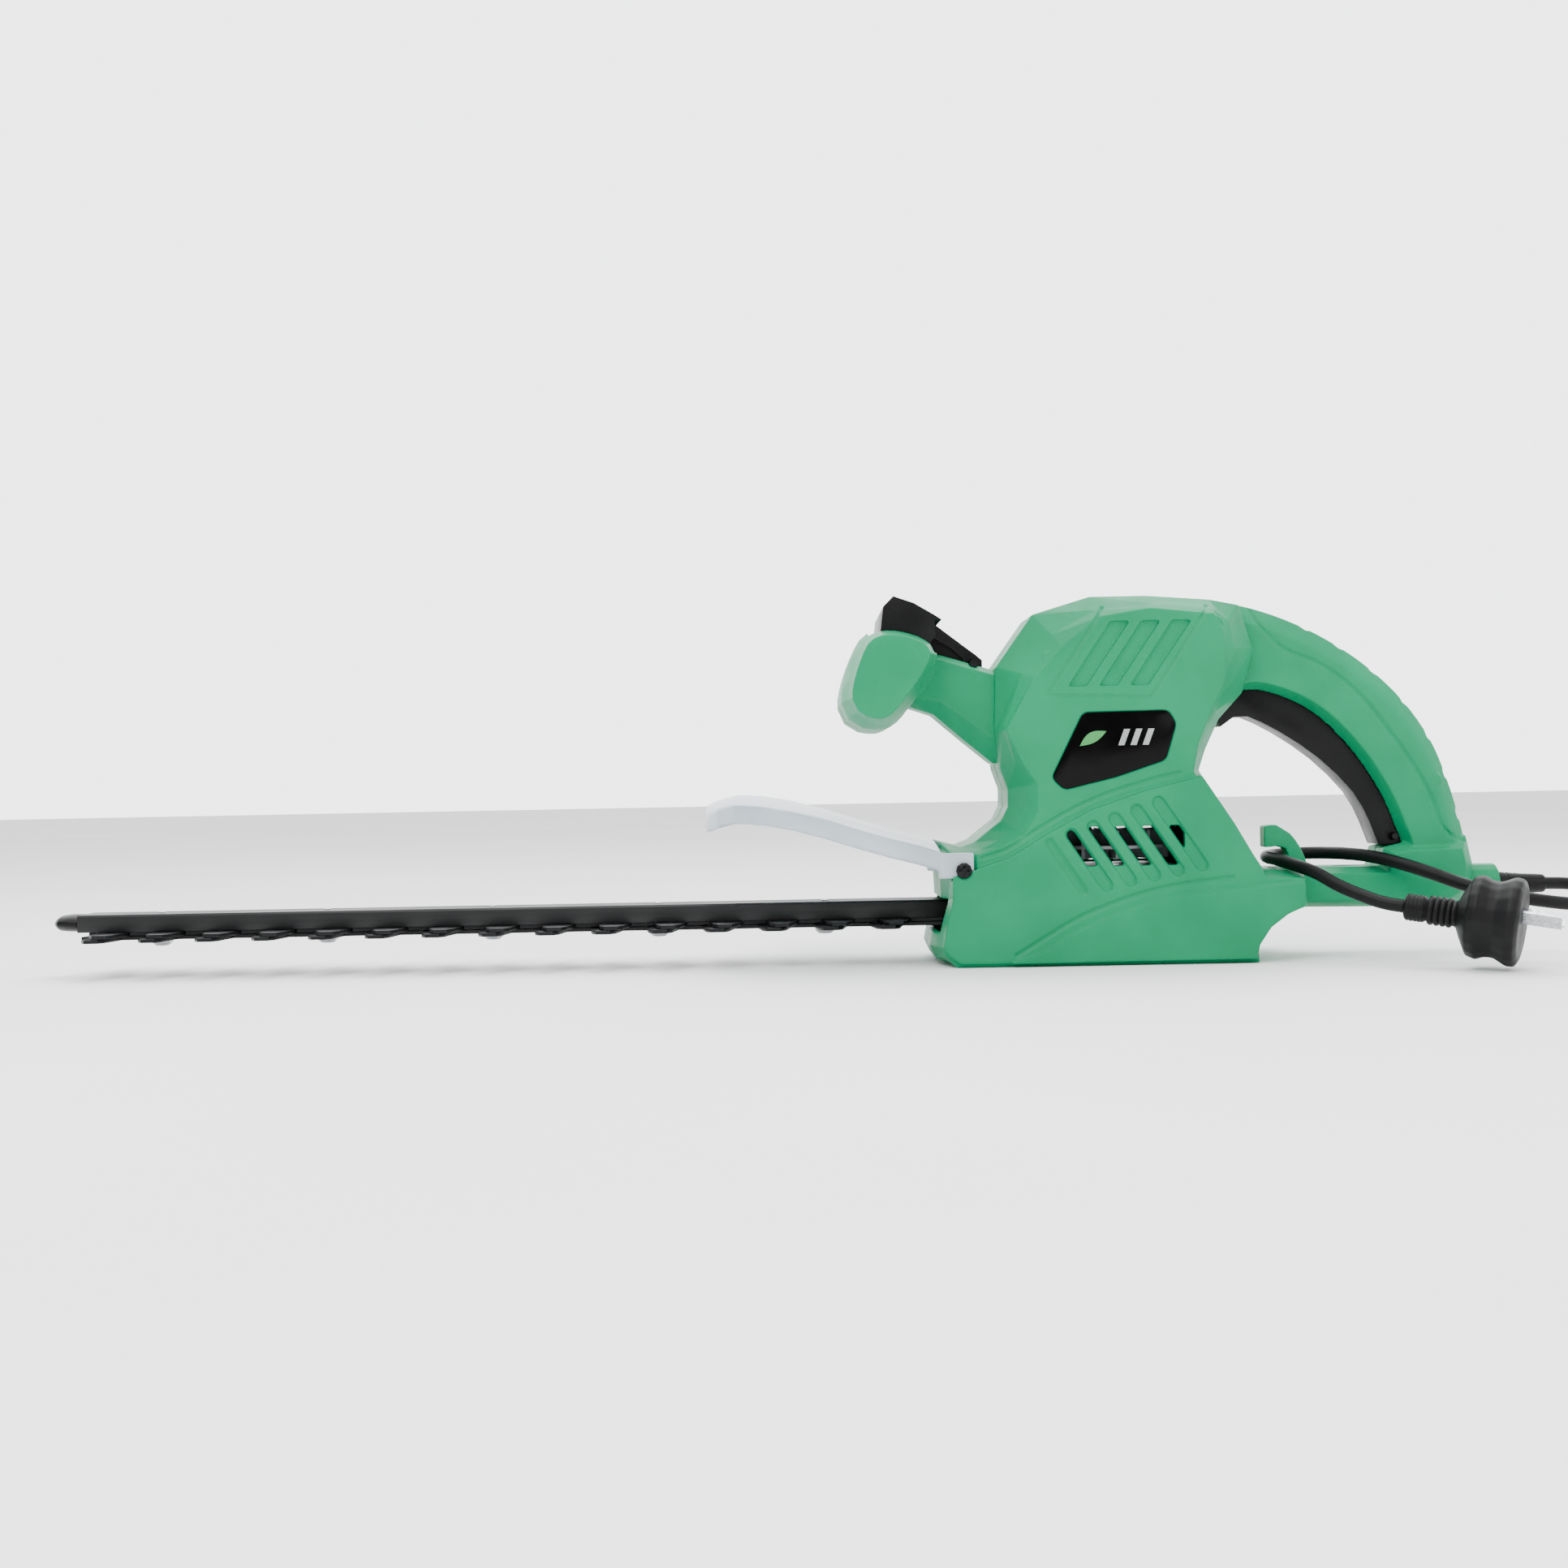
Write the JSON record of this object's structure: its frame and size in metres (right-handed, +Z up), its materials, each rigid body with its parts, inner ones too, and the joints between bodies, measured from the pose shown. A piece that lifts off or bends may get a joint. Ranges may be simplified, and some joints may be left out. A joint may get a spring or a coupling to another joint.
{
  "type": "electric hedge trimmer",
  "caption": "Corded hedge trimmer: toothed blades under a black bar, green motor housing, T front grip with switch lever, clear hand guard, D rear handle with trigger, short plugged tail.",
  "frame": {"origin": "under the middle of the tool's box, on the plane that its flat base stands on", "axes": "+X from the blade tip to the rear end along the blade, +Y to the side that the housing screws go in from, +Z up from the flat base"},
  "size_m": [0.8071, 0.1787, 0.184],
  "materials": {
    "green_plastic": "satin moulded ABS",
    "black_plastic": "fine moulded grain",
    "gloss_black": "glossy moulded inlay",
    "clear_plastic": "clear moulded, lightly frosted",
    "black_steel": "black oxide and paint",
    "black_alloy": "black anodised extrusion",
    "bright_steel": "plated",
    "cast_alloy": "die cast",
    "copper": null,
    "laminations": "stacked laminations",
    "grey_plastic": "plain moulded",
    "rubber": "flexible PVC"
  },
  "bodies": {
    "tool": {"housing_left": "green_plastic", "housing_right": "green_plastic", "badge_left": "gloss_black", "badge_right": "gloss_black", "base_plate": "black_steel", "hand_guard": "clear_plastic", "front_lever_pin": "bright_steel", "front_lever_spring": "bright_steel", "front_switch": "black_plastic", "trigger_pin": "bright_steel", "trigger_spring": "bright_steel", "rear_switch": "black_plastic", "blade_bar": "black_alloy", "blade_nose": "black_plastic", "gear_shaft": "bright_steel", "gear_case": "cast_alloy", "lower_bearing": "bright_steel", "upper_bearing": "bright_steel", "stator": "laminations", "brush_left": "copper", "brush_right": "copper", "capacitor": "black_plastic", "cord_clamp": "black_plastic", "inner_lead": "rubber", "cord_boot": "rubber", "mains_cord": "rubber", "plug_body": "rubber", "plug_pin_1": "bright_steel", "plug_pin_2": "bright_steel", "guard_screw_left": "black_steel", "guard_screw_right": "black_steel", "housing_screw_1": "black_steel", "housing_screw_2": "black_steel", "housing_screw_3": "black_steel", "housing_screw_4": "black_steel", "housing_screw_5": "black_steel", "housing_screw_6": "black_steel", "housing_screw_7": "black_steel", "base_screw_1": "black_steel", "base_screw_2": "black_steel", "base_screw_3": "black_steel", "base_screw_4": "black_steel", "blade_screw_1": "bright_steel", "blade_screw_2": "bright_steel", "blade_screw_3": "bright_steel", "blade_screw_4": "bright_steel", "blade_screw_5": "bright_steel"},
    "upper_blade": {"blade_upper": "black_steel"},
    "lower_blade": {"blade_lower": "black_steel"},
    "gear": {"drive_gear": "bright_steel"},
    "armature": {"armature_shaft": "bright_steel", "armature_core": "laminations", "commutator": "copper", "fan": "grey_plastic"},
    "front_lever": {"front_switch_lever": "black_plastic"},
    "trigger": {"rear_trigger": "black_plastic"}
  },
  "joints": [
    {"name": "upper_blade_slide", "type": "slide", "parent": "tool", "child": "upper_blade", "axis": [1, 0, 0], "range_m": [-0.007, 0.003]},
    {"name": "lower_blade_slide", "type": "slide", "parent": "tool", "child": "lower_blade", "axis": [1, 0, 0], "range_m": [-0.003, 0.007]},
    {"name": "armature_spin", "type": "hinge", "parent": "tool", "child": "armature", "pos_m": [0.172, 0, 0.1], "axis": [0, 0, 1], "continuous": true},
    {"name": "gear_spin", "type": "hinge", "parent": "tool", "child": "gear", "pos_m": [0.142, 0, 0.038], "axis": [0, 0, 1], "continuous": true},
    {"name": "front_lever_press", "type": "hinge", "parent": "tool", "child": "front_lever", "pos_m": [0.104, 0, 0.152], "axis": [0, -1, 0], "range_deg": [0, 6.5], "stiffness_Nm_per_rad": 2, "springref_deg": -3.44, "deforming": ["front_lever_spring"]},
    {"name": "trigger_press", "type": "hinge", "parent": "tool", "child": "trigger", "pos_m": [0.317, 0, 0.06], "axis": [0, 1, 0], "range_deg": [0, 4], "stiffness_Nm_per_rad": 4, "springref_deg": -3.44, "deforming": ["trigger_spring"]}
  ],
  "couplings": [
    {"joint": "lower_blade_slide", "follows": "upper_blade_slide", "ratio": -1},
    {"joint": "gear_spin", "follows": "armature_spin", "ratio": -0.2}
  ]
}
